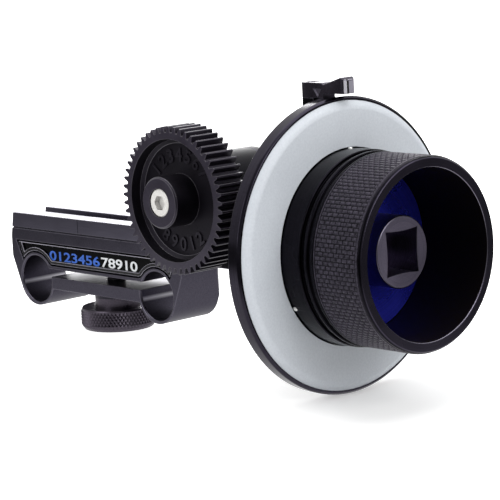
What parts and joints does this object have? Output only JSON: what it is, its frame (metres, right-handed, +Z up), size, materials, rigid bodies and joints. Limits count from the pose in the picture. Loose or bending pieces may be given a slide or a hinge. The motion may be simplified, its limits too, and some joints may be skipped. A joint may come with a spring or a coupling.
{
  "type": "follow focus unit",
  "caption": "Rod-mounted focus drive: a side handwheel with a blank marking ring turns a toothed lens drive gear through a crossed-axis gearbox on a screw clamp.",
  "frame": {"origin": "midway between the two rod axes, in the upright plane that holds the handwheel axis", "axes": "+X along the handwheel axis towards its cup, Y along the rods and the drive gear's axis with the gear facing -Y, +Z up"},
  "size_m": [0.1779, 0.0858, 0.0914],
  "materials": {
    "clamp_anodised": "charcoal hard-anodised aluminium, satin, fine machining lines",
    "body_anodised": "black anodised aluminium, satin",
    "knob_anodised": "black anodised aluminium, diamond knurled",
    "wheel_anodised": "black anodised aluminium, turned, slightly violet sheen",
    "pointer_anodised": "grey anodised aluminium, satin",
    "blue_anodised": "royal blue anodised aluminium, turned",
    "steel": "bright stainless steel, turned",
    "black_steel": "black oxide steel",
    "bronze": "sintered bronze, oiled",
    "gear_acetal": "black moulded acetal, low sheen",
    "marking_plastic": "pale grey plastic that takes a marker pen, matte",
    "grip_rubber": "black ribbed rubber",
    "badge_plastic": "black moulded plastic, satin gloss"
  },
  "bodies": {
    "clamp": {"clamp_body": "clamp_anodised", "badge_bezel": "badge_plastic", "badge_label": "badge_plastic", "screw_insert": "bronze"},
    "washer": {"knob_washer": "steel"},
    "clamp_screw": {"clamp_knob": "knob_anodised", "clamp_stud": "steel"},
    "bridge": {"bridge_foot": "body_anodised", "bridge_screws": "black_steel", "rail_nut": "steel", "gearbox_housing": "body_anodised", "gearbox_cover": "body_anodised", "cover_screws": "black_steel", "output_front_bush": "bronze", "output_rear_bush": "bronze", "wheel_left_bush": "bronze", "wheel_inner_bush": "bronze", "wheel_outer_bush": "bronze", "neck": "body_anodised"},
    "bridge_washer": {"lock_washer": "steel"},
    "bridge_lock": {"lock_knob": "knob_anodised", "lock_stud": "steel"},
    "index": {"index_arm": "body_anodised", "index_pointer": "pointer_anodised", "pointer_screw": "black_steel", "index_screw": "black_steel"},
    "handwheel": {"wheel_shaft": "steel", "wheel_pinion": "steel", "shaft_clip": "steel", "wave_washer": "steel", "carrier_disc": "wheel_anodised", "carrier_screws": "black_steel", "marking_ring": "marking_plastic", "handwheel_body": "wheel_anodised", "ring_catch_pins": "steel", "grip_sleeve": "grip_rubber", "cup_floor_disc": "blue_anodised", "drive_hub": "wheel_anodised", "hub_screw": "black_steel"},
    "output": {"output_shaft": "steel", "output_pinion": "steel", "gear_adapter": "body_anodised", "drive_pins": "steel", "drive_gear": "gear_acetal", "gear_screw": "steel"}
  },
  "joints": [
    {"name": "bridge_slide", "type": "slide", "parent": "clamp", "child": "bridge", "axis": [1, 0, 0], "range_m": [-0.001, 0.012]},
    {"name": "clamp_screw_travel", "type": "slide", "parent": "clamp", "child": "washer", "axis": [0, 0, -1], "range_m": [0, 0.002]},
    {"name": "clamp_screw_turn", "type": "hinge", "parent": "washer", "child": "clamp_screw", "pos_m": [0, -0.0008, -0.0105], "axis": [0, 0, -1], "range_deg": [0, 720]},
    {"name": "lock_screw_travel", "type": "slide", "parent": "bridge", "child": "bridge_washer", "axis": [0, 0, 1], "range_m": [0, 0.0016]},
    {"name": "lock_screw_turn", "type": "hinge", "parent": "bridge_washer", "child": "bridge_lock", "pos_m": [0.0285, 0, 0.0307], "axis": [0, 0, 1], "range_deg": [0, 720]},
    {"name": "index_swing", "type": "hinge", "parent": "bridge", "child": "index", "pos_m": [0.0909, 0, 0.0205], "axis": [1, 0, 0], "continuous": true},
    {"name": "handwheel_turn", "type": "hinge", "parent": "bridge", "child": "handwheel", "pos_m": [0.11, 0, 0.0205], "axis": [1, 0, 0], "continuous": true},
    {"name": "gear_turn", "type": "hinge", "parent": "bridge", "child": "output", "pos_m": [0.056, -0.0187, 0.03335], "axis": [0, 1, 0], "continuous": true}
  ],
  "couplings": [
    {"joint": "clamp_screw_turn", "follows": "clamp_screw_travel", "rad_per_m": 6283},
    {"joint": "lock_screw_turn", "follows": "lock_screw_travel", "rad_per_m": 7853},
    {"joint": "gear_turn", "follows": "handwheel_turn", "ratio": 1}
  ]
}
